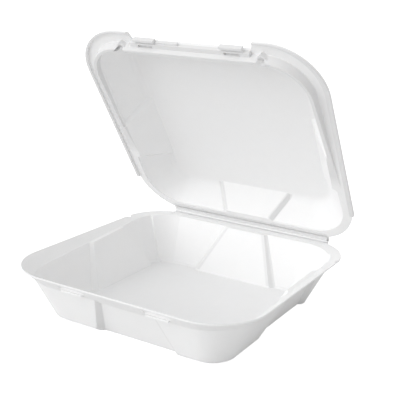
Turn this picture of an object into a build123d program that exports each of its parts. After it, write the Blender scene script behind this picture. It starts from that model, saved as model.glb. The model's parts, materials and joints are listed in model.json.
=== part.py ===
"""Foam clamshell food container: a square tray and its lid, standing open.

The whole box is moulded from one sheet of foamed plastic about 2.5 mm thick, and
folds on a ribbed strip along the back edge. The tray and the lid turn against each
other there, so each of them carries its own half of the strip.

Frame: X along the hinge, Y from the front to the hinge, Z up. The tray stands on
Z = 0, and X = Y = 0 is the middle of its rim. The lid is drawn where it lies when
the box is shut, on planes turned back about the hinge by the angle it stands open.
"""
from build123d import *
import os
from math import atan, cos, radians, sin, tan

# Foam
wall_across = 2.8
floor_thick = 2.5
rim_thick = 2.6
step_slope = 40.0

# Tray rim: half its width, its front edge, and how far the back edge stops from the fold
rim_half = 117.5
rim_front = -117.4
rim_inset = 1.3
rim_radius = 46.5
rim_height = 48.0
rim_bevel = 1.2

# Tray foot and walls, with the foot's distances inside the rim's edge
side_run = 28.5
front_run = 28.5
back_run = 31.9
foot_radius = 21.5
foot_bevel = 2.0
wall_run = 20.256
shoulder_radius = 38.0
floor_bevel = 2.0

# Back corners of the tray, rounder behind a step that keeps stacked trays apart
corner_extra = 5.0
corner_reach = 8.4
corner_lean = 0.285
corner_ease = 0.5

# Line where the walls turn out into the rim: low at the front, high at the hinge
bead_drop = 5.8
bead_rise = 0.045
bead_ledge = 1.2

# Recessed panels of the tray, as (middle, half width at the rim, half width at the foot)
panel_depth = 4.5
panel_draft = 0.53
back_panel = (5.0, 18.5, 40.5)
front_panel = (8.5, 22.5, 35.5)
side_panel = (21.0, 20.0, 43.0)

# Notches in the tray's lip, where the lid's hanging lip ends
notch_y = 71.5
notch_length = 8.0
notch_depth = 3.0

# Hinge
hinge_y = 119.3
hinge_middle = 1.0
hinge_inset = 29.5
hinge_gap = 0.15
hinge_thick = 2.4
hinge_overlap = 2.5
groove_pitch = 2.7
groove_start = 1.9
groove_width = 1.3
groove_depth = 0.7
groove_count = 4
flange_fall_start = 12.0
open_angle = 55.7

# Lid rim, with its distances outside the tray's rim and from the fold
lid_middle = 0.6
lip_out = 3.9
plain_out = 1.8
lid_front_out = 1.7
lid_inset = 3.3
lid_radius = 49.0
lid_lift = 0.3
flange_thick = 2.5
flange_bevel = 2.2
flange_edge = 0.8
lip_gap = 0.5
lip_drop = 1.6
lip_end = 72.0

# Ridge of the lid, which nests inside the tray's flared rim
crest_front_in = 10.3
crest_back_in = 3.7
crest_front_run = 13.7
crest_back_run = 9.0
crest_radius = 38.0
crest_drop = 2.0
crest_rise = 0.06
crest_width = 1.9
ridge_reach = 10.0
ridge_draft = 2.5

# Dome of the lid
ceiling_side_run = 28.5
ceiling_front_run = 33.1
ceiling_back_run = 24.0
ceiling_radius = 22.0
dome_rise = 26.5
ceiling_round = 9.0
dome_lift = 2.0
lid_panel_depth = 3.5
lid_wall_thick = 2.3
top_grow = 1.2
top_bevel = 4.5
lid_back_panel = (3.0, 24.0, 37.5)
lid_side_panel = (19.0, 20.5, 35.5)

# Latch at the front: two tongues of the lid over two slits in the tray's rim
latch_middle = 1.5
tongue_inner = 32.0
tongue_outer = 53.0
tongue_reach = 4.2
tongue_thick = 2.0
tongue_play = 0.4
plate_drop = 3.2
tip_drop = 5.0
slit_play = 2.4
slit_gap = 0.5
slit_depth = 5.0
ledge_drop = 9.4
ledge_thick = 1.4
ledge_out = 1.3
ledge_reach = 3.8
mouth_run = 8.1
mouth_half_in = 58.5
mouth_half_out = 62.5
skirt_drop = 4.0
pocket_play = 3.0
pocket_depth = 1.8
jog_middle = 69.0
jog_half = 9.0
jog_reach = 5.5
jog_drop = 4.8
jog_wall = 2.2
jog_hollow = 2.5
pad_start = -30.0
pad_end = -8.0
pad_reach = 2.0

# Spare length that carries cutting shapes clear of the foam
spare = 12.0

# Worked out from the sizes above
rim_back = hinge_y - rim_inset
foot_half = rim_half - side_run
foot_front = rim_front + front_run
foot_back = rim_back - back_run
lid_half = rim_half + lip_out
lid_plain_half = rim_half + plain_out
lid_front = rim_front - lid_front_out
lid_back = hinge_y - lid_inset
crest_front_half = rim_half - crest_front_in
crest_back_half = rim_half - crest_back_in
crest_front = lid_front + crest_front_run
crest_back = lid_back - crest_back_run
ceiling_half = rim_half - ceiling_side_run
ceiling_front = lid_front + ceiling_front_run
ceiling_back = lid_back - ceiling_back_run
mouth_edge = lid_front + mouth_run
hinge_height = rim_height
bead_height = rim_height - bead_drop
wall_draft = wall_run / bead_height
crest_height = rim_height - crest_drop
ridge_root = rim_height - ridge_reach
ceiling_height = rim_height + dome_rise
dome_root = rim_height + dome_lift
tongue_top = rim_height - tongue_play
tongue_plate = rim_height - plate_drop
tongue_tip = rim_height - tip_drop
ledge_bottom = rim_height - ledge_drop
mouth_skirt = rim_height - skirt_drop
jog_bottom = rim_height - jog_drop
hinge_half = rim_half - hinge_inset
strip_end = hinge_y - hinge_gap
groove_places = [hinge_y - groove_start - groove_pitch * number for number in range(groove_count)]
tongue_middle = (tongue_inner + tongue_outer) / 2
tongue_width = tongue_outer - tongue_inner
tongue_y = mouth_edge - tongue_reach + tongue_thick / 2
slit_front = mouth_edge - tongue_reach - slit_gap
notch_slope = notch_length / 2 / notch_depth
flange_fall = (rim_height - bead_height - bead_rise * rim_back) / flange_fall_start


def outline(front_half, back_half, front, back, radius, grow=0.0, middle=0.0, mode=Mode.ADD):
    """Draw a rounded four-sided outline, wider or narrower at the back."""
    with BuildSketch(mode=Mode.PRIVATE) as shape:
        Polygon(
            (middle - front_half - grow, front - grow),
            (middle + front_half + grow, front - grow),
            (middle + back_half + grow, back + grow),
            (middle - back_half - grow, back + grow),
            align=None,
        )
        fillet(shape.vertices(), radius=radius + grow)
    add(shape.sketch_local, mode=mode)


def wall_outline(height, inset, extra, ease):
    """Draw the tray's wall at a height, inset by a part of its thickness."""
    share = height / rim_height
    radius = foot_radius + (shoulder_radius - foot_radius) * share + extra
    outline(foot_half, foot_half, foot_front, foot_back + ease, radius - wall_draft * height,
            wall_draft * height - inset)


def wall_body(low, high, inset, bevel, extra=0.0, ease=0.0):
    """Make the body inside the tray's walls, with its corners rounder by extra.

    ease moves its back wall out, so that a rounder corner meets the real wall at an angle.
    """
    with BuildPart() as body:
        for level in (low, high):
            with BuildSketch(Plane.XY.offset(level)):
                wall_outline(level, inset, extra, ease)
        loft(ruled=True)
        chamfer(body.faces().sort_by(Axis.Z)[0].edges(), length=bevel)
    return body.part


def corner_cut(low, inset, bevel):
    """Make what the rounder back corners take away behind their steps."""
    step_y = foot_back - corner_reach
    with BuildPart() as cut:
        with BuildSketch(Plane.YZ.offset(-2 * rim_half)):
            Polygon(
                (step_y, low),
                (rim_back + spare, low),
                (rim_back + spare, rim_height),
                (step_y + corner_lean * rim_height, rim_height),
                align=None,
            )
        extrude(amount=4 * rim_half)
        add(wall_body(low, rim_height, inset, bevel, corner_extra, corner_ease), mode=Mode.SUBTRACT)
    return cut.part


def bead_outline():
    """Draw the line where the walls turn out into the rim, on the bead's plane."""
    run = wall_draft * bead_height - wall_across + bead_ledge
    lean = wall_draft * bead_rise * rim_back
    outline(foot_half + run - lean, foot_half + run + lean,
            foot_front - run + lean, foot_back + run + lean, shoulder_radius - bead_ledge)


def rim_outline(grow=0.0):
    """Draw the tray's outer edge."""
    outline(rim_half, rim_half, rim_front, rim_back, rim_radius, grow)


def panel_shape(plane, panel, low, high, depth, shift):
    """Make the block that presses one panel in, from a plane lying on the wall.

    low and high are the panel's ends along the wall, depth is how far it is pressed
    in, and shift moves its bottom further in by the thickness of the foam.
    """
    middle, narrow, wide = panel
    widen = shift * tan(radians(step_slope / 2))
    slant = (depth + shift + spare) / tan(radians(step_slope))
    spread = (wide - narrow) / (high - low)
    base = low - spare
    top = high + spare
    with BuildPart() as block:
        for level, grow in ((-depth - shift, widen), (spare, widen + slant)):
            with BuildSketch(plane.offset(level)):
                bottom_half = wide + spread * spare + grow
                top_half = narrow - spread * spare + grow
                Polygon(
                    (middle - bottom_half, base),
                    (middle + bottom_half, base),
                    (middle + top_half, top),
                    (middle - top_half, top),
                    align=None,
                )
        loft(ruled=True)
    return block.part


# Planes of the panels, through the foot's four edges, each with its local Y up the wall
back_wall = Plane(origin=(0, foot_back, 0), x_dir=(-1, 0, 0), z_dir=(0, 1, -panel_draft))
front_wall = Plane(origin=(0, foot_front, 0), x_dir=(1, 0, 0), z_dir=(0, -1, -panel_draft))
right_wall = Plane(origin=(foot_half, 0, 0), x_dir=(0, 1, 0), z_dir=(1, 0, -panel_draft))
left_wall = Plane(origin=(-foot_half, 0, 0), x_dir=(0, -1, 0), z_dir=(-1, 0, -panel_draft))


def turned(panel):
    """Mirror a panel's middle for a wall whose local X runs the other way."""
    return (-panel[0], panel[1], panel[2])


tray_panels = (
    (back_wall, turned(back_panel)),
    (front_wall, front_panel),
    (right_wall, side_panel),
    (left_wall, turned(side_panel)),
)
panel_top = rim_height / cos(atan(panel_draft))
bead_plane = Plane(origin=(0, 0, bead_height), x_dir=(1, 0, 0), z_dir=(0, -bead_rise, 1))
low_bead_plane = Plane(
    origin=(0, 0, bead_height - rim_thick), x_dir=(1, 0, 0), z_dir=(0, -bead_rise, 1)
)

# Space inside the tray, with its panels standing proud of the walls
with BuildPart() as tray_space:
    add(wall_body(floor_thick, rim_height, wall_across, floor_bevel))
    add(corner_cut(floor_thick, wall_across, floor_bevel), mode=Mode.SUBTRACT)
    for wall_plane, panel in tray_panels:
        add(panel_shape(wall_plane, panel, 0, panel_top, panel_depth, wall_across), mode=Mode.SUBTRACT)
    with BuildSketch(bead_plane):
        bead_outline()
    with BuildSketch(Plane.XY.offset(rim_height)):
        rim_outline()
    loft(ruled=True)

with BuildPart() as tray:
    add(wall_body(0, rim_height - rim_thick, 0, foot_bevel))
    add(corner_cut(0, 0, foot_bevel), mode=Mode.SUBTRACT)
    for wall_plane, panel in tray_panels:
        add(panel_shape(wall_plane, panel, 0, panel_top, panel_depth, 0), mode=Mode.SUBTRACT)

    # Flared rim, bevelled under its edge
    with BuildSketch(low_bead_plane):
        bead_outline()
    with BuildSketch(Plane.XY.offset(rim_height - rim_thick)):
        rim_outline(-rim_bevel)
    loft(ruled=True)
    with BuildSketch(Plane.XY.offset(rim_height - rim_thick)):
        rim_outline(-rim_bevel)
    with BuildSketch(Plane.XY.offset(rim_height - rim_thick + rim_bevel)):
        rim_outline()
    loft(ruled=True)
    with BuildSketch(Plane.XY.offset(rim_height - rim_thick + rim_bevel)):
        rim_outline()
    extrude(amount=rim_thick - rim_bevel)
    add(tray_space.part, mode=Mode.SUBTRACT)

    # Notches where the lid's hanging lip ends
    with BuildSketch(Plane.XY.offset(bead_height - spare)):
        for side in (-1, 1):
            Polygon(
                (side * (rim_half + spare), notch_y - notch_slope * (notch_depth + spare)),
                (side * (rim_half - notch_depth), notch_y),
                (side * (rim_half + spare), notch_y + notch_slope * (notch_depth + spare)),
                align=None,
            )
    extrude(amount=2 * spare, mode=Mode.SUBTRACT)

    # Slits in the front of the rim, over which the lid's tongues close
    with BuildSketch(Plane.XY.offset(bead_height - spare)):
        for side in (-1, 1):
            with Locations((latch_middle + side * tongue_middle, slit_front)):
                Rectangle(tongue_width + 2 * slit_play, slit_depth, align=(Align.CENTER, Align.MIN))
    extrude(amount=2 * spare, mode=Mode.SUBTRACT)
    with BuildSketch(Plane.XY.offset(ledge_bottom)):
        for side in (-1, 1):
            with Locations((latch_middle + side * tongue_middle, mouth_edge - ledge_out)):
                Rectangle(tongue_width, ledge_reach, align=(Align.CENTER, Align.MIN))
    extrude(amount=ledge_thick)

    # Hinge strip, as far as this side of the fold, and the grooves along it
    with BuildSketch(Plane.XY.offset(hinge_height - hinge_gap - hinge_thick)):
        with Locations((hinge_middle, strip_end)):
            Rectangle(2 * hinge_half, strip_end - rim_back + hinge_overlap, align=(Align.CENTER, Align.MAX))
    extrude(amount=hinge_thick)
    with BuildSketch(Plane.YZ.offset(hinge_middle - hinge_half)):
        for groove_y in groove_places:
            surface = hinge_height - hinge_gap
            if groove_y < rim_back:
                surface = rim_height - (rim_back - groove_y) * flange_fall
            with Locations((groove_y, surface - groove_depth)):
                Rectangle(groove_width, spare, align=(Align.CENTER, Align.MIN))
    extrude(amount=2 * hinge_half, mode=Mode.SUBTRACT)
tray.part.label = "tray"

# Frame in which the lid is drawn shut, turned back about the hinge
back_way = Vector(0, cos(radians(open_angle)), -sin(radians(open_angle)))
up_way = Vector(0, sin(radians(open_angle)), cos(radians(open_angle)))
lid_origin = Vector(0, hinge_y, hinge_height) - back_way * hinge_y - up_way * hinge_height
lid_frame = Plane(origin=lid_origin, x_dir=(1, 0, 0), z_dir=up_way)
lid_section = Plane(origin=lid_origin, x_dir=back_way, z_dir=(1, 0, 0))
flange_under = rim_height + lid_lift


def shut_point(x, y, z):
    """Give the place in the open lid of a point given with the lid shut."""
    return lid_origin + Vector(x, 0, 0) + back_way * y + up_way * z


def inner_outline(grow=0.0):
    """Draw the lid's opening, inside its ridge."""
    outline(crest_front_half, crest_back_half, crest_front, crest_back, crest_radius, grow - crest_width)


def ceiling_outline(grow=0.0):
    """Draw the lid's flat top."""
    outline(ceiling_half, ceiling_half, ceiling_front, ceiling_back, ceiling_radius, grow)


def lipped_outline(grow=0.0):
    """Draw the lid's edge as far back as its lip hangs."""
    outline(lid_half, lid_half, lid_front, lid_back, lid_radius, grow, lid_middle)
    with Locations((0, lip_end)):
        Rectangle(4 * lid_half, 4 * lid_half, align=(Align.CENTER, Align.MAX), mode=Mode.INTERSECT)


def plain_outline(grow=0.0):
    """Draw the lid's edge as it is behind the lip."""
    outline(lid_plain_half, lid_plain_half, lid_front, lid_back, lid_radius, grow, lid_middle)


def lid_wall_plane(way, top, root):
    """Give the plane inside a lid wall, with its local Y down from the ceiling.

    way is -1, 0 or 1 for the left, back or right wall, top is where that wall meets
    the ceiling, and root is where it meets the rim.
    """
    fall = ceiling_height - dome_root
    if way == 0:
        across = Vector(1, 0, 0)
        down = back_way * (root - top) - up_way * fall
        start = shut_point(0, top, ceiling_height)
    else:
        across = back_way * -way
        down = Vector(way * (root - top), 0, 0) - up_way * fall
        start = shut_point(way * top, 0, ceiling_height)
    return Plane(origin=start, x_dir=across, z_dir=across.cross(down)), down.length


lid_side_root = (crest_front_half + crest_back_half) / 2 - crest_width
lid_walls = (
    (0, ceiling_back, crest_back - crest_width, lid_back_panel),
    (1, ceiling_half, lid_side_root, turned(lid_side_panel)),
    (-1, ceiling_half, lid_side_root, lid_side_panel),
)


def lid_panel_blocks(shift):
    """Make the blocks that press in the lid's panels, moved out by the foam."""
    blocks = []
    for way, top, root, panel in lid_walls:
        plane, length = lid_wall_plane(way, top, root)
        blocks.append(panel_shape(plane, panel, 0, length, lid_panel_depth, shift))
    return blocks


# Space inside the lid
with BuildPart() as lid_space:
    with BuildSketch(lid_frame.offset(dome_root)):
        inner_outline()
    with BuildSketch(lid_frame.offset(ceiling_height)):
        ceiling_outline()
    loft(ruled=True)
    fillet(lid_space.faces().sort_by(Axis((0, 0, 0), up_way))[-1].edges(), radius=ceiling_round)
    with BuildSketch(lid_frame.offset(ridge_root - spare)):
        inner_outline()
    extrude(amount=dome_root - ridge_root + spare)
    for block in lid_panel_blocks(0):
        add(block, mode=Mode.SUBTRACT)

with BuildPart() as lid:
    # Dome
    with BuildSketch(lid_frame.offset(dome_root)):
        inner_outline(wall_across)
    with BuildSketch(lid_frame.offset(ceiling_height + floor_thick)):
        ceiling_outline(top_grow)
    loft(ruled=True)
    chamfer(lid.faces().sort_by(Axis((0, 0, 0), up_way))[-1].edges(), length=top_bevel)
    for block in lid_panel_blocks(-lid_wall_thick):
        add(block, mode=Mode.SUBTRACT)

    # Ridge, cut along a plane that falls towards the front as the tray's rim does
    with BuildSketch(lid_frame.offset(ridge_root)):
        outline(crest_front_half, crest_back_half, crest_front, crest_back, crest_radius)
    with BuildSketch(lid_frame.offset(flange_under)):
        outline(crest_front_half, crest_back_half, crest_front, crest_back, crest_radius, ridge_draft)
    loft(ruled=True)
    crest_end = (flange_under - crest_height) / crest_rise
    with BuildSketch(lid_section.offset(-2 * lid_half)):
        Polygon(
            (-2 * lid_half, ridge_root - spare),
            (2 * lid_half, ridge_root - spare),
            (2 * lid_half, flange_under),
            (crest_end, flange_under),
            (-2 * lid_half, crest_height - 2 * lid_half * crest_rise),
            align=None,
        )
    extrude(amount=4 * lid_half, mode=Mode.SUBTRACT)

    # Bends of the ridge beside the latch
    with BuildSketch(lid_frame.offset(jog_bottom)):
        for side in (-1, 1):
            jog_x = latch_middle + side * jog_middle
            Polygon(
                (jog_x - jog_half, crest_front + crest_width),
                (jog_x, crest_front - jog_reach),
                (jog_x + jog_half, crest_front + crest_width),
                align=None,
            )
    extrude(amount=flange_under - jog_bottom)

    # Flange over the tray's rim, bevelled above its edge, and the lip that hangs outside it
    for edge_outline in (lipped_outline, plain_outline):
        with BuildSketch(lid_frame.offset(flange_under)):
            edge_outline()
        extrude(amount=flange_edge)
        with BuildSketch(lid_frame.offset(flange_under + flange_edge)):
            edge_outline()
        with BuildSketch(lid_frame.offset(flange_under + flange_thick)):
            edge_outline(-flange_bevel)
        loft(ruled=True)
    with BuildSketch(lid_frame.offset(rim_height - lip_drop)):
        lipped_outline()
        outline(rim_half, rim_half, rim_front, rim_back + spare, rim_radius, lip_gap, mode=Mode.SUBTRACT)
    extrude(amount=lip_drop + lid_lift)

    # Mouth, where the rim is cut back between the corners
    with BuildSketch(lid_frame.offset(ridge_root - spare)):
        Polygon(
            (latch_middle - mouth_half_in, mouth_edge),
            (latch_middle + mouth_half_in, mouth_edge),
            (latch_middle + mouth_half_out, mouth_edge - spare),
            (latch_middle - mouth_half_out, mouth_edge - spare),
            align=None,
        )
    extrude(amount=4 * spare, mode=Mode.SUBTRACT)
    with BuildSketch(lid_frame.offset(mouth_skirt)):
        with Locations((latch_middle, (mouth_edge + crest_front) / 2)):
            Rectangle(2 * mouth_half_in, crest_front - mouth_edge)
    extrude(amount=flange_under - mouth_skirt)

    # Tongues, each a plate with a tip that dips into a slit, and the raised pad
    with BuildSketch(lid_frame.offset(tongue_plate)):
        for side in (-1, 1):
            with Locations((latch_middle + side * tongue_middle, mouth_edge)):
                Rectangle(tongue_width, tongue_reach, align=(Align.CENTER, Align.MAX))
        with Locations(((pad_start + pad_end) / 2, mouth_edge)):
            Rectangle(pad_end - pad_start, pad_reach, align=(Align.CENTER, Align.MAX))
    extrude(amount=tongue_top - tongue_plate)
    with BuildSketch(lid_frame.offset(tongue_tip)):
        for side in (-1, 1):
            with Locations((latch_middle + side * tongue_middle, tongue_y)):
                Rectangle(tongue_width, tongue_thick)
    extrude(amount=tongue_top - tongue_tip)

    # Hinge strip, as far as this side of the fold
    with BuildSketch(lid_frame.offset(hinge_height + hinge_gap)):
        with Locations((hinge_middle, strip_end)):
            Rectangle(2 * hinge_half, strip_end - lid_back + hinge_overlap, align=(Align.CENTER, Align.MAX))
    extrude(amount=hinge_thick)
    with BuildSketch(lid_section.offset(hinge_middle - hinge_half)):
        for groove_y in groove_places:
            with Locations((groove_y, flange_under + groove_depth)):
                Rectangle(groove_width, spare, align=(Align.CENTER, Align.MAX))
    extrude(amount=2 * hinge_half, mode=Mode.SUBTRACT)

    # Hollows
    add(lid_space.part, mode=Mode.SUBTRACT)
    with BuildSketch(lid_frame.offset(ridge_root)):
        for side in (-1, 1):
            jog_x = latch_middle + side * jog_middle
            Polygon(
                (jog_x - jog_half + jog_wall, crest_front + crest_width),
                (jog_x, crest_front - jog_reach + jog_wall),
                (jog_x + jog_half - jog_wall, crest_front + crest_width),
                align=None,
            )
    extrude(amount=jog_bottom + jog_hollow - ridge_root, mode=Mode.SUBTRACT)
    with BuildSketch(lid_frame.offset(ridge_root)):
        for side in (-1, 1):
            with Locations((latch_middle + side * tongue_middle, (mouth_edge + crest_front) / 2)):
                Rectangle(tongue_width - 2 * pocket_play, crest_front - mouth_edge - pocket_play)
    extrude(amount=mouth_skirt + pocket_depth - ridge_root, mode=Mode.SUBTRACT)
lid.part.label = "lid"

os.makedirs("parts", exist_ok=True)
export_step(tray.part, "parts/tray.step")
export_step(lid.part, "parts/lid.step")
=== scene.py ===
import json
import logging
import math
from dataclasses import dataclass, field
from enum import Enum
from functools import reduce

import bmesh
import bpy
from mathutils import Matrix, Vector


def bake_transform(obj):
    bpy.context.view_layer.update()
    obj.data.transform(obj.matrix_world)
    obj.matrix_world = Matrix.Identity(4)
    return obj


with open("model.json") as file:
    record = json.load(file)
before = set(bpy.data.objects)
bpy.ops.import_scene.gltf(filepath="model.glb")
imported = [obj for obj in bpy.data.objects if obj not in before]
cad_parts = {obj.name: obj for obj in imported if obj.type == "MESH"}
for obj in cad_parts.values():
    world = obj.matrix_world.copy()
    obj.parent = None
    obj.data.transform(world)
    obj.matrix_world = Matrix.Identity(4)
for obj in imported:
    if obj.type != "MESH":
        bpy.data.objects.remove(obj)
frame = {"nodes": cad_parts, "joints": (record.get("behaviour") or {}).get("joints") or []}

log = logging.getLogger("clamshell")
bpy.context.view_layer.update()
HINGE = next(joint for joint in frame["joints"] if joint["name"] == "lid_hinge")
HINGE_POINT = Vector(HINGE["pos_m"])
OPEN_ANGLE = math.radians(-HINGE["range_deg"][0])
MM = 0.001
WHITE = (1.0, 1.0, 1.0)

Colour = tuple[float, float, float]


class Wall(Enum):
    """The walls whose panel steps get painted shade, each with the way it faces along y."""

    BACK = 1.0
    FRONT = -1.0


def clear_selection() -> None:
    """Leave edit mode and deselect every object."""
    if bpy.context.object and bpy.context.object.mode != "OBJECT":
        bpy.ops.object.mode_set(mode="OBJECT")
    bpy.ops.object.select_all(action="DESELECT")


def take_new(name: str) -> bpy.types.Object:
    """Name the object that an operator has just added.

    Args:
        name: The piece's name.

    Returns:
        The object, which is also the active one.
    """
    made = bpy.context.object
    made.name = name
    made.data.name = name
    return made


def settle(piece: bpy.types.Object) -> None:
    """Apply a piece's place to its mesh, so that its object sits at the origin.

    Args:
        piece: The object to settle.
    """
    clear_selection()
    piece.select_set(True)
    bpy.context.view_layer.objects.active = piece
    bpy.ops.object.transform_apply(location=True, rotation=True, scale=True)


def carry(way: Vector, distances: tuple[float, ...]) -> None:
    """Extrude the selected face from station to station.

    Args:
        way: The direction to go.
        distances: How far each station lies from the last.
    """
    for distance in distances:
        bpy.ops.mesh.extrude_region_move(TRANSFORM_OT_translate={"value": way * distance})


@dataclass
class Wiring:
    """A node tree, with short ways to add its nodes and join them."""

    tree: bpy.types.NodeTree

    def node(self, kind: str, **settings: object) -> bpy.types.Node:
        """Add a node.

        Args:
            kind: The node's type.
            settings: The node's own properties.

        Returns:
            The new node.
        """
        made = self.tree.nodes.new(kind)
        for label, value in settings.items():
            setattr(made, label, value)
        return made

    def feed(self, socket: bpy.types.NodeSocket, source: object) -> None:
        """Give an input a value, or link another node's output to it.

        Args:
            socket: The input.
            source: What it gets.
        """
        if isinstance(source, bpy.types.NodeSocket):
            self.tree.links.new(source, socket)
        else:
            socket.default_value = source

    def calc(self, operation: str, *sources: object) -> bpy.types.NodeSocket:
        """Add a Math node.

        Args:
            operation: What it works out.
            sources: Its numbers, or the outputs that feed it.

        Returns:
            Its result.
        """
        made = self.node("ShaderNodeMath", operation=operation)
        for socket, source in zip(made.inputs, sources):
            self.feed(socket, source)
        return made.outputs[0]

    def spread(self, **sources: object) -> bpy.types.NodeSocket:
        """Add a Map Range node, whose sockets are named with a low line for each space.

        Args:
            sources: What its inputs get.

        Returns:
            Its result.
        """
        made = self.node("ShaderNodeMapRange")
        for label, source in sources.items():
            self.feed(made.inputs[label.replace("_", " ")], source)
        return made.outputs["Result"]

    def fade(self, value: object, edge: object, soft: float) -> bpy.types.NodeSocket:
        """Add a mask that is one up to an edge and falls to nought beyond it.

        Args:
            value: What is measured.
            edge: Where the fall begins.
            soft: How far the fall goes on.

        Returns:
            The mask.
        """
        end = self.calc("ADD", edge, soft)
        return self.spread(Value=value, From_Min=edge, From_Max=end, To_Min=1.0, To_Max=0.0)

    def mix(self, first: object, second: object, share: object) -> bpy.types.NodeSocket:
        """Add a Mix node for two colours.

        Args:
            first: The colour where the share is nought.
            second: The colour where the share is one.
            share: How much of the second colour shows.

        Returns:
            The mixed colour.
        """
        made = self.node("ShaderNodeMix", data_type="RGBA")
        self.feed(made.inputs["A"], first)
        self.feed(made.inputs["B"], second)
        self.feed(made.inputs["Factor"], share)
        return made.outputs["Result"]

    def group(self, tree: bpy.types.NodeTree, sources: dict[str, object]) -> bpy.types.Node:
        """Add a shader group.

        Args:
            tree: The group.
            sources: What its inputs get, by the inputs' names.

        Returns:
            The group's node.
        """
        made = self.node("ShaderNodeGroup", node_tree=tree)
        for label, source in sources.items():
            self.feed(made.inputs[label], source)
        return made


def open_group(
    name: str,
    vectors: tuple[str, ...],
    numbers: tuple[str, ...],
    results: tuple[str, ...],
) -> tuple[Wiring, dict, dict]:
    """Start a shader group.

    Args:
        name: The group's name.
        vectors: The names of its inputs that are vectors.
        numbers: The names of its inputs that are numbers.
        results: The names of its outputs, which are all numbers.

    Returns:
        The group's wiring, its inputs as seen from inside, and its outputs.
    """
    group = bpy.data.node_groups.new(name, "ShaderNodeTree")
    for labels, way, kind in (
        (vectors, "INPUT", "NodeSocketVector"),
        (numbers, "INPUT", "NodeSocketFloat"),
        (results, "OUTPUT", "NodeSocketFloat"),
    ):
        for label in labels:
            group.interface.new_socket(label, in_out=way, socket_type=kind)
    wiring = Wiring(group)
    given = wiring.node("NodeGroupInput").outputs
    result = wiring.node("NodeGroupOutput").inputs
    return (
        wiring,
        {label: given[label] for label in vectors + numbers},
        {label: result[label] for label in results},
    )


def open_material(name: str) -> tuple[bpy.types.Material, Wiring, bpy.types.Node]:
    """Start a material.

    Args:
        name: The material's name.

    Returns:
        The material, its wiring and its shader.
    """
    made = bpy.data.materials.new(name)
    made.use_nodes = True
    return made, Wiring(made.node_tree), made.node_tree.nodes["Principled BSDF"]


@dataclass(frozen=True)
class FoamSkin:
    """The skin of foamed plastic: flattened cells, a fine grain and the mould's long waves."""

    name: str = "foam_skin"
    cell_smoothness: float = 0.6
    wave_detail: float = 3.0
    grain_detail: float = 2.0
    grain_share: float = 0.5
    gloss_share: float = 0.5

    def build(self) -> bpy.types.NodeTree:
        """Build the shader group that draws the skin.

        Returns:
            The group, which puts out a tint, a gloss mask and a height.
        """
        wiring, given, result = open_group(
            self.name,
            ("Place",),
            ("Cells", "Waves", "Grain", "Cell Depth", "Wave Depth"),
            ("Tint", "Gloss", "Height"),
        )
        cell = wiring.node("ShaderNodeTexVoronoi", feature="SMOOTH_F1")
        wiring.feed(cell.inputs["Smoothness"], self.cell_smoothness)
        wave = wiring.node("ShaderNodeTexNoise")
        wiring.feed(wave.inputs["Detail"], self.wave_detail)
        grain = wiring.node("ShaderNodeTexNoise")
        wiring.feed(grain.inputs["Detail"], self.grain_detail)
        for texture, size in ((cell, "Cells"), (wave, "Waves"), (grain, "Grain")):
            wiring.feed(texture.inputs["Vector"], given["Place"])
            wiring.feed(texture.inputs["Scale"], given[size])
        cells, waves, grains = cell.outputs["Distance"], wave.outputs["Fac"], grain.outputs["Fac"]
        hollow = wiring.calc("MULTIPLY", cells, given["Cell Depth"])
        swell = wiring.calc("MULTIPLY", waves, given["Wave Depth"])
        grain_depth = wiring.calc("MULTIPLY", given["Cell Depth"], self.grain_share)
        fine = wiring.calc("MULTIPLY", grains, grain_depth)
        shaped = wiring.calc("SUBTRACT", swell, hollow)
        both = wiring.calc("ADD", grains, waves)
        wiring.feed(result["Height"], wiring.calc("ADD", shaped, fine))
        wiring.feed(result["Tint"], wiring.calc("MULTIPLY", waves, cells))
        wiring.feed(result["Gloss"], wiring.calc("MULTIPLY", both, self.gloss_share))
        return wiring.tree


@dataclass(frozen=True)
class StepShade:
    """Painted shade along the slanted steps beside a pressed panel, darkening them where shade
    falls.
    """

    name: str = "painted_step_shade"
    soft_mm: float = 1.6

    def build(self) -> bpy.types.NodeTree:
        """Build the shader group that finds the steps of one panel.

        Returns:
            The group, whose inputs are in millimetres and which puts out the mask of painted
            shade.
        """
        wiring, given, result = open_group(
            self.name,
            (),
            (
                "Along", "Across", "Up", "Middle", "Half At Foot", "Half At Rim",
                "Step At Foot", "Step At Rim", "Height", "Near", "Bottom", "Top",
            ),
            ("Mask",),
        )
        half, step = (
            wiring.spread(
                Value=given["Up"],
                From_Max=given["Height"],
                To_Min=given[f"{size} At Foot"],
                To_Max=given[f"{size} At Rim"],
            )
            for size in ("Half", "Step")
        )
        half_step = wiring.calc("MULTIPLY", step, 0.5)
        step_middle = wiring.calc("ADD", half, half_step)
        aside = wiring.calc("ABSOLUTE", wiring.calc("SUBTRACT", given["Along"], given["Middle"]))
        away = wiring.calc("ABSOLUTE", wiring.calc("SUBTRACT", aside, step_middle))
        # painted shade: a band along each slanted step of the panel
        band = wiring.fade(away, half_step, self.soft_mm)
        on_wall = wiring.calc("GREATER_THAN", given["Across"], given["Near"])
        above = wiring.calc("GREATER_THAN", given["Up"], given["Bottom"])
        below = wiring.calc("LESS_THAN", given["Up"], given["Top"])
        inside = wiring.calc("MULTIPLY", on_wall, wiring.calc("MULTIPLY", above, below))
        wiring.feed(result["Mask"], wiring.calc("MULTIPLY", band, inside))
        return wiring.tree


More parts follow.
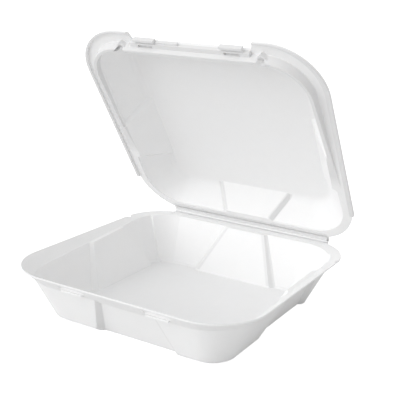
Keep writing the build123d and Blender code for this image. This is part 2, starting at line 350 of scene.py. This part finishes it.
@dataclass(frozen=True)
class FoldLineShade:
    """Painted shade in the grooves pressed side by side along the fold.

    A wave has its crests on the grooves. The mask begins where the wave is at wave_edge
    and is full at wave_full, and the first and last grooves end half a spacing out.
    """

    name: str = "painted_fold_line_shade"
    soft_mm: float = 1.0
    wave_edge: float = -0.2
    wave_full: float = 0.9
    half_spacing: float = 0.5

    def build(self) -> bpy.types.NodeTree:
        """Build the shader group that finds the grooves.

        Returns:
            The group, whose inputs are in millimetres and which puts out the mask of painted
            shade.
        """
        wiring, given, result = open_group(
            self.name,
            (),
            ("Along", "Across", "Up", "First", "Spacing", "Count", "Half Length", "Bottom"),
            ("Mask",),
        )
        from_first = wiring.calc("SUBTRACT", given["Across"], given["First"])
        turns = wiring.calc("DIVIDE", from_first, given["Spacing"])
        wave = wiring.calc("COSINE", wiring.calc("MULTIPLY", turns, 2 * math.pi))
        # painted shade: a band on each pressed groove along the fold
        groove = wiring.spread(Value=wave, From_Min=self.wave_edge, From_Max=self.wave_full)
        last = wiring.calc("SUBTRACT", given["Count"], self.half_spacing)
        started = wiring.calc("GREATER_THAN", turns, -self.half_spacing)
        going = wiring.calc("LESS_THAN", turns, last)
        aside = wiring.calc("ABSOLUTE", given["Along"])
        length = wiring.fade(aside, given["Half Length"], self.soft_mm)
        above = wiring.calc("GREATER_THAN", given["Up"], given["Bottom"])
        counted = wiring.calc("MULTIPLY", started, going)
        on_strip = wiring.calc("MULTIPLY", length, above)
        inside = wiring.calc("MULTIPLY", counted, on_strip)
        wiring.feed(result["Mask"], wiring.calc("MULTIPLY", groove, inside))
        return wiring.tree


@dataclass(frozen=True)
class PressedPanel:
    """Where the steps of one pressed panel, which get painted shade, run along its wall, in
    millimetres.
    """

    wall: Wall
    middle: float
    half_foot: float
    half_rim: float
    step_foot: float
    step_rim: float
    near: float
    bottom: float
    top: float


@dataclass(frozen=True)
class FoamFinish:
    """White foamed plastic with a moulded satin skin, and painted shade on the panel steps, the
    fold's grooves and the lid's ridge.

    The heights, the ridge and the lines are in millimetres, measured on the shut box.
    The bump's distance and the milky reach are in metres. The turn shuts the shell, and
    a shell with a ceiling is measured down from it.
    """

    name: str
    skin: bpy.types.NodeTree
    steps: bpy.types.NodeTree
    lines: bpy.types.NodeTree
    panels: tuple[PressedPanel, ...]
    height: float
    flange: float
    # the colour of the painted shade
    painted_shade_colour: Colour
    ridge: tuple[float, float] | None = None
    turn: float = 0.0
    ceiling: float | None = None
    colour: Colour = (0.90, 0.90, 0.90)
    shade: Colour = (0.862, 0.862, 0.864)
    rough_low: float = 0.42
    rough_high: float = 0.62
    cell_mm: float = 1.1
    wave_mm: float = 9.0
    grain_mm: float = 0.35
    cell_depth: float = 0.16
    wave_depth: float = 0.35
    bump_strength: float = 0.30
    bump_distance: float = 0.6 * MM
    bending_index: float = 1.45
    milky: float = 0.12
    milky_reach: tuple[float, float, float] = (0.006, 0.0055, 0.005)
    milky_scale: float = 1.0
    first_line: float = 1.9
    line_spacing: float = 2.7
    line_count: float = 4.0
    line_half: float = 87.5
    line_shade_share: float = 0.35

    def shut_place(
        self, wiring: Wiring, place: bpy.types.NodeSocket
    ) -> tuple[bpy.types.NodeSocket, bpy.types.NodeSocket, bpy.types.NodeSocket]:
        """Work out where each point of the shell lies when the box is shut.

        Args:
            wiring: The material's nodes.
            place: The Object coordinates.

        Returns:
            The distances along the fold, towards the back and up the shell, in millimetres.
        """
        pivot = HINGE_POINT / MM
        turned = Matrix.Rotation(self.turn, 3, "X") @ pivot
        shut = wiring.node("ShaderNodeMapping")
        wiring.feed(shut.inputs["Vector"], place)
        wiring.feed(shut.inputs["Scale"], (1 / MM, 1 / MM, 1 / MM))
        wiring.feed(shut.inputs["Rotation"], (self.turn, 0.0, 0.0))
        wiring.feed(shut.inputs["Location"], pivot - turned)
        split = wiring.node("ShaderNodeSeparateXYZ")
        wiring.feed(split.inputs["Vector"], shut.outputs["Vector"])
        along, back, up = split.outputs
        if self.ceiling is not None:
            up = wiring.calc("SUBTRACT", self.ceiling, up)
        return along, back, up

    def painted_shade_mask(self, wiring: Wiring, place: bpy.types.NodeSocket) -> bpy.types.NodeSocket:
        """Join the painted shade masks of all the panels' steps, the grooves along the fold and
        the lid's ridge.

        Args:
            wiring: The material's nodes.
            place: The Object coordinates.

        Returns:
            The mask of painted shade, one where the shade is painted and nought elsewhere.
        """
        along, back, up = self.shut_place(wiring, place)
        masks = []
        for panel in self.panels:
            step = wiring.group(self.steps, {
                "Along": along,
                "Across": wiring.calc("MULTIPLY", back, panel.wall.value),
                "Up": up,
                "Middle": panel.middle,
                "Half At Foot": panel.half_foot,
                "Half At Rim": panel.half_rim,
                "Step At Foot": panel.step_foot,
                "Step At Rim": panel.step_rim,
                "Height": self.height,
                "Near": panel.near,
                "Bottom": panel.bottom,
                "Top": panel.top,
            })
            masks.append(step.outputs["Mask"])
        fold = wiring.group(self.lines, {
            "Along": along,
            "Across": wiring.calc("SUBTRACT", HINGE_POINT.y / MM, back),
            "Up": up,
            "First": self.first_line,
            "Spacing": self.line_spacing,
            "Count": self.line_count,
            "Half Length": self.line_half,
            "Bottom": self.flange,
        })
        # the fold's painted groove shade, weakened to this share
        masks.append(wiring.calc("MULTIPLY", fold.outputs["Mask"], self.line_shade_share))
        # painted shade on the flank of the lid's ridge, between its foot and crest heights
        if self.ridge is not None:
            foot, crest = self.ridge
            masks.append(wiring.spread(Value=up, From_Min=foot, From_Max=crest))
        return reduce(lambda joined, mask: wiring.calc("MAXIMUM", joined, mask), masks)

    def material(self) -> bpy.types.Material:
        """Build the material of one shell.

        Returns:
            The finished material.
        """
        made, wiring, shader = open_material(self.name)
        wiring.feed(shader.inputs["IOR"], self.bending_index)
        wiring.feed(shader.inputs["Subsurface Weight"], self.milky)
        wiring.feed(shader.inputs["Subsurface Radius"], self.milky_reach)
        wiring.feed(shader.inputs["Subsurface Scale"], self.milky_scale)

        place = wiring.node("ShaderNodeTexCoord").outputs["Object"]
        skin = wiring.group(self.skin, {
            "Place": place,
            "Cells": 1 / (self.cell_mm * MM),
            "Waves": 1 / (self.wave_mm * MM),
            "Grain": 1 / (self.grain_mm * MM),
            "Cell Depth": self.cell_depth,
            "Wave Depth": self.wave_depth,
        })

        white = wiring.mix((*self.colour, 1.0), (*self.shade, 1.0), skin.outputs["Tint"])
        # mix in the painted shade colour where the painted shade mask is
        drawn = wiring.mix(white, (*self.painted_shade_colour, 1.0), self.painted_shade_mask(wiring, place))
        wiring.feed(shader.inputs["Base Color"], drawn)

        gloss = skin.outputs["Gloss"]
        rough = wiring.spread(Value=gloss, To_Min=self.rough_low, To_Max=self.rough_high)
        wiring.feed(shader.inputs["Roughness"], rough)

        bump = wiring.node("ShaderNodeBump")
        wiring.feed(bump.inputs["Strength"], self.bump_strength)
        wiring.feed(bump.inputs["Distance"], self.bump_distance)
        wiring.feed(bump.inputs["Height"], skin.outputs["Height"])
        wiring.feed(shader.inputs["Normal"], bump.outputs["Normal"])
        return made


@dataclass(frozen=True)
class FloorFinish:
    """Plain white table top, whose brightness to the camera alone is raised to white."""

    name: str = "white_floor"
    colour: Colour = (0.80, 0.80, 0.80)
    rough: float = 0.85
    sheen: float = 0.0
    lit: float = 0.68

    def material(self) -> bpy.types.Material:
        """Build the floor's material.

        Returns:
            The finished material.
        """
        made, wiring, shader = open_material(self.name)
        wiring.feed(shader.inputs["Base Color"], (*self.colour, 1.0))
        wiring.feed(shader.inputs["Roughness"], self.rough)
        wiring.feed(shader.inputs["Specular IOR Level"], self.sheen)
        wiring.feed(shader.inputs["Emission Color"], (*WHITE, 1.0))
        seen = wiring.node("ShaderNodeLightPath").outputs["Is Camera Ray"]
        wiring.feed(shader.inputs["Emission Strength"], wiring.calc("MULTIPLY", seen, self.lit))
        return made


@dataclass
class FoamShells:
    """The tray and the lid, whose solids are right as they are and get the foam's finish.

    All sizes are in millimetres, measured on the shut box.
    """

    skin: bpy.types.NodeTree
    steps: bpy.types.NodeTree
    lines: bpy.types.NodeTree
    tray_panels: tuple[PressedPanel, ...] = (
        PressedPanel(Wall.BACK, middle=5.0, half_foot=40.8, half_rim=18.8, step_foot=5.0,
                     step_rim=2.6, near=80.0, bottom=2.8, top=46.6),
        PressedPanel(Wall.FRONT, middle=8.5, half_foot=35.8, half_rim=22.8, step_foot=5.0,
                     step_rim=2.6, near=80.0, bottom=2.8, top=37.8),
    )
    lid_panels: tuple[PressedPanel, ...] = (
        PressedPanel(Wall.BACK, middle=3.0, half_foot=37.5, half_rim=24.0, step_foot=4.0,
                     step_rim=4.0, near=85.0, bottom=0.4, top=25.5),
    )
    # the colours of the painted shade on each shell
    tray_painted_shade: Colour = (0.80, 0.80, 0.802)
    lid_painted_shade: Colour = (0.77, 0.77, 0.772)
    tray_height: float = 48.0
    tray_flange: float = 44.5
    dome_height: float = 24.5
    lid_flange: float = 23.0
    # the heights on the lid where its ridge gets painted shade
    lid_ridge_shade: tuple[float, float] = (26.3, 27.2)
    ceiling: float = 74.5

    def dress(self) -> bpy.types.Material:
        """Give both shells the foam finish.

        Returns:
            The tray's material, which the hinge's skin shares.
        """
        groups = {"skin": self.skin, "steps": self.steps, "lines": self.lines}
        finishes = {
            "tray": FoamFinish(
                "tray_foam",
                panels=self.tray_panels,
                height=self.tray_height,
                flange=self.tray_flange,
                painted_shade_colour=self.tray_painted_shade,
                **groups,
            ),
            "lid": FoamFinish(
                "lid_foam",
                panels=self.lid_panels,
                height=self.dome_height,
                flange=self.lid_flange,
                painted_shade_colour=self.lid_painted_shade,
                ridge=self.lid_ridge_shade,
                turn=OPEN_ANGLE,
                ceiling=self.ceiling,
                **groups,
            ),
        }
        made = {}
        for name, finish in finishes.items():
            made[name] = finish.material()
            for slot in frame["nodes"][name].material_slots:
                slot.material = made[name]
            log.info("dressed %s", name)
        return made["tray"]


@dataclass
class HingeSkin:
    """The foam that bends along the back, from the tray's flange round to the lid's.

    It is drawn as a section at the tray's flange, carried along the tray's half of the
    strip, spun about the hinge and carried along the lid's half. The inside of its
    bend is a round hollow.
    """

    foam: bpy.types.Material
    middle: float = 1.0 * MM
    length: float = 175.4 * MM
    thick: float = 2.62 * MM
    inner_drop: float = 0.09 * MM
    tray_reach: float = 3.3 * MM
    lid_reach: float = 5.6 * MM
    fold_round: float = 1.5 * MM
    fold_steps: int = 14
    bend: float = 1.3 * MM
    join_within: float = 0.01 * MM
    crease_angle: float = math.radians(40)

    def fold_start(self) -> float:
        """Work out how far from the hinge's axis the round hollow begins.

        Returns:
            The distance along either half of the strip.
        """
        return self.fold_round / math.tan(OPEN_ANGLE / 2)

    def round_fold(self, piece: bpy.types.Object) -> None:
        """Open the inner corner of the fold into a small round hollow.

        Args:
            piece: The band, in edit mode.
        """
        half = OPEN_ANGLE / 2
        inward = Vector((0, -math.cos(half), math.sin(half)))
        centre = HINGE_POINT + inward * (self.fold_round / math.sin(half))
        corner = 2 * self.inner_drop
        shell = bmesh.from_edit_mesh(piece.data)
        for vert in shell.verts:
            spoke = Vector((0, vert.co.y - HINGE_POINT.y, vert.co.z - HINGE_POINT.z))
            if spoke.length < corner:
                outward = spoke.normalized() * (self.fold_round + self.inner_drop)
                vert.co.yz = (centre + outward).yz
        bmesh.update_edit_mesh(piece.data)

    def build(self) -> bpy.types.Object:
        """Model the band, smooth it and bend it between the two shells.

        Returns:
            The finished piece.
        """
        clear_selection()
        inner = HINGE_POINT.z - self.inner_drop
        bpy.ops.mesh.primitive_plane_add(
            size=1.0,
            location=(self.middle, HINGE_POINT.y - self.tray_reach, inner - self.thick / 2),
            rotation=(math.radians(90), 0, 0),
        )
        skin = take_new("hinge_skin")
        skin.scale = (self.length, self.thick, 1.0)
        settle(skin)
        bpy.ops.object.mode_set(mode="EDIT")
        bpy.ops.mesh.select_mode(type="FACE")
        bpy.ops.mesh.select_all(action="SELECT")
        start = self.fold_start()
        carry(Vector((0, 1, 0)), (self.tray_reach - start, start))
        bpy.ops.mesh.spin(
            steps=self.fold_steps,
            angle=math.pi - OPEN_ANGLE,
            center=HINGE_POINT,
            axis=(1, 0, 0),
        )
        lid_way = Vector((0, -math.cos(OPEN_ANGLE), math.sin(OPEN_ANGLE)))
        carry(lid_way, (start, self.lid_reach - start))
        self.round_fold(skin)
        bpy.ops.mesh.select_all(action="SELECT")
        bpy.ops.mesh.remove_doubles(threshold=self.join_within)
        bpy.ops.mesh.normals_make_consistent(inside=False)
        bpy.ops.object.mode_set(mode="OBJECT")
        bpy.ops.object.shade_smooth_by_angle(angle=self.crease_angle)
        skin.data.materials.clear()
        skin.data.materials.append(self.foam)
        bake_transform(skin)
        log.info("built %s with %d faces", skin.name, len(skin.data.polygons))
        return skin


@dataclass
class Studio:
    """A white table, soft light from the front and the camera at the photograph's view.

    Angles are in degrees. The focal length and the frame are in the photograph's pixels.
    """

    camera_place: tuple[float, float, float] = (0.3581, -0.5822, 0.2939)
    azimuth: float = 30.72
    elevation: float = 15.69
    roll: float = -2.08
    focal_px: float = 797.67
    frame_px: float = 400.0
    sensor: float = 36.0
    floor_size: float = 40.0
    sky_strength: float = 0.76
    seen_sky_strength: float = 1.0
    key_from: Vector = field(default_factory=lambda: Vector((-0.56, -0.70, 0.38)))
    key_power: float = 1.42
    key_spread: float = 55.0

    def floor(self) -> None:
        """Lay the table top under the box."""
        clear_selection()
        bpy.ops.mesh.primitive_plane_add(size=self.floor_size, location=(0, 0, 0))
        table = take_new("table_top")
        table.data.materials.append(FloorFinish().material())

    def light(self) -> None:
        """Hang the broad front lamp and light the room."""
        clear_selection()
        bpy.ops.object.light_add(type="SUN", location=self.key_from)
        key = take_new("front_lamp")
        key.data.energy = self.key_power
        key.data.angle = math.radians(self.key_spread)
        key.rotation_euler = (-self.key_from).to_track_quat("-Z", "Y").to_euler()
        room = bpy.data.worlds.new("room")
        bpy.context.scene.world = room
        room.use_nodes = True
        wiring = Wiring(room.node_tree)
        sky = room.node_tree.nodes["Background"]
        seen = wiring.node("ShaderNodeLightPath").outputs["Is Camera Ray"]
        strength = wiring.spread(
            Value=seen, To_Min=self.sky_strength, To_Max=self.seen_sky_strength
        )
        wiring.feed(sky.inputs["Color"], (*WHITE, 1.0))
        wiring.feed(sky.inputs["Strength"], strength)
        bpy.context.scene.view_settings.view_transform = "Standard"

    def camera(self) -> None:
        """Set the camera where the photograph was taken from."""
        turn, lift, roll = (
            math.radians(value) for value in (self.azimuth, self.elevation, self.roll)
        )
        reach = math.cos(lift)
        back = Vector((math.sin(turn) * reach, -math.cos(turn) * reach, math.sin(lift)))
        right = Vector((math.cos(turn), math.sin(turn), 0))
        up = back.cross(right)
        axis_x = right * math.cos(roll) - up * math.sin(roll)
        axis_y = right * math.sin(roll) + up * math.cos(roll)
        facing = Matrix((axis_x, axis_y, back)).transposed().to_4x4()
        clear_selection()
        bpy.ops.object.camera_add(location=self.camera_place)
        eye = take_new("photo_camera")
        eye.matrix_world = Matrix.Translation(self.camera_place) @ facing
        eye.data.sensor_width = self.sensor
        eye.data.lens = self.focal_px / self.frame_px * self.sensor
        bpy.context.scene.camera = eye

    def build(self) -> None:
        """Set up the whole studio."""
        self.floor()
        self.light()
        self.camera()
        log.info("studio ready")


def main() -> None:
    """Dress the shells, build the hinge's skin and set up the studio."""
    logging.basicConfig(level=logging.INFO, format="%(name)s: %(message)s")
    foam = FoamShells(FoamSkin().build(), StepShade().build(), FoldLineShade().build()).dress()
    HingeSkin(foam).build()
    Studio().build()


if __name__ == "__main__":
    main()
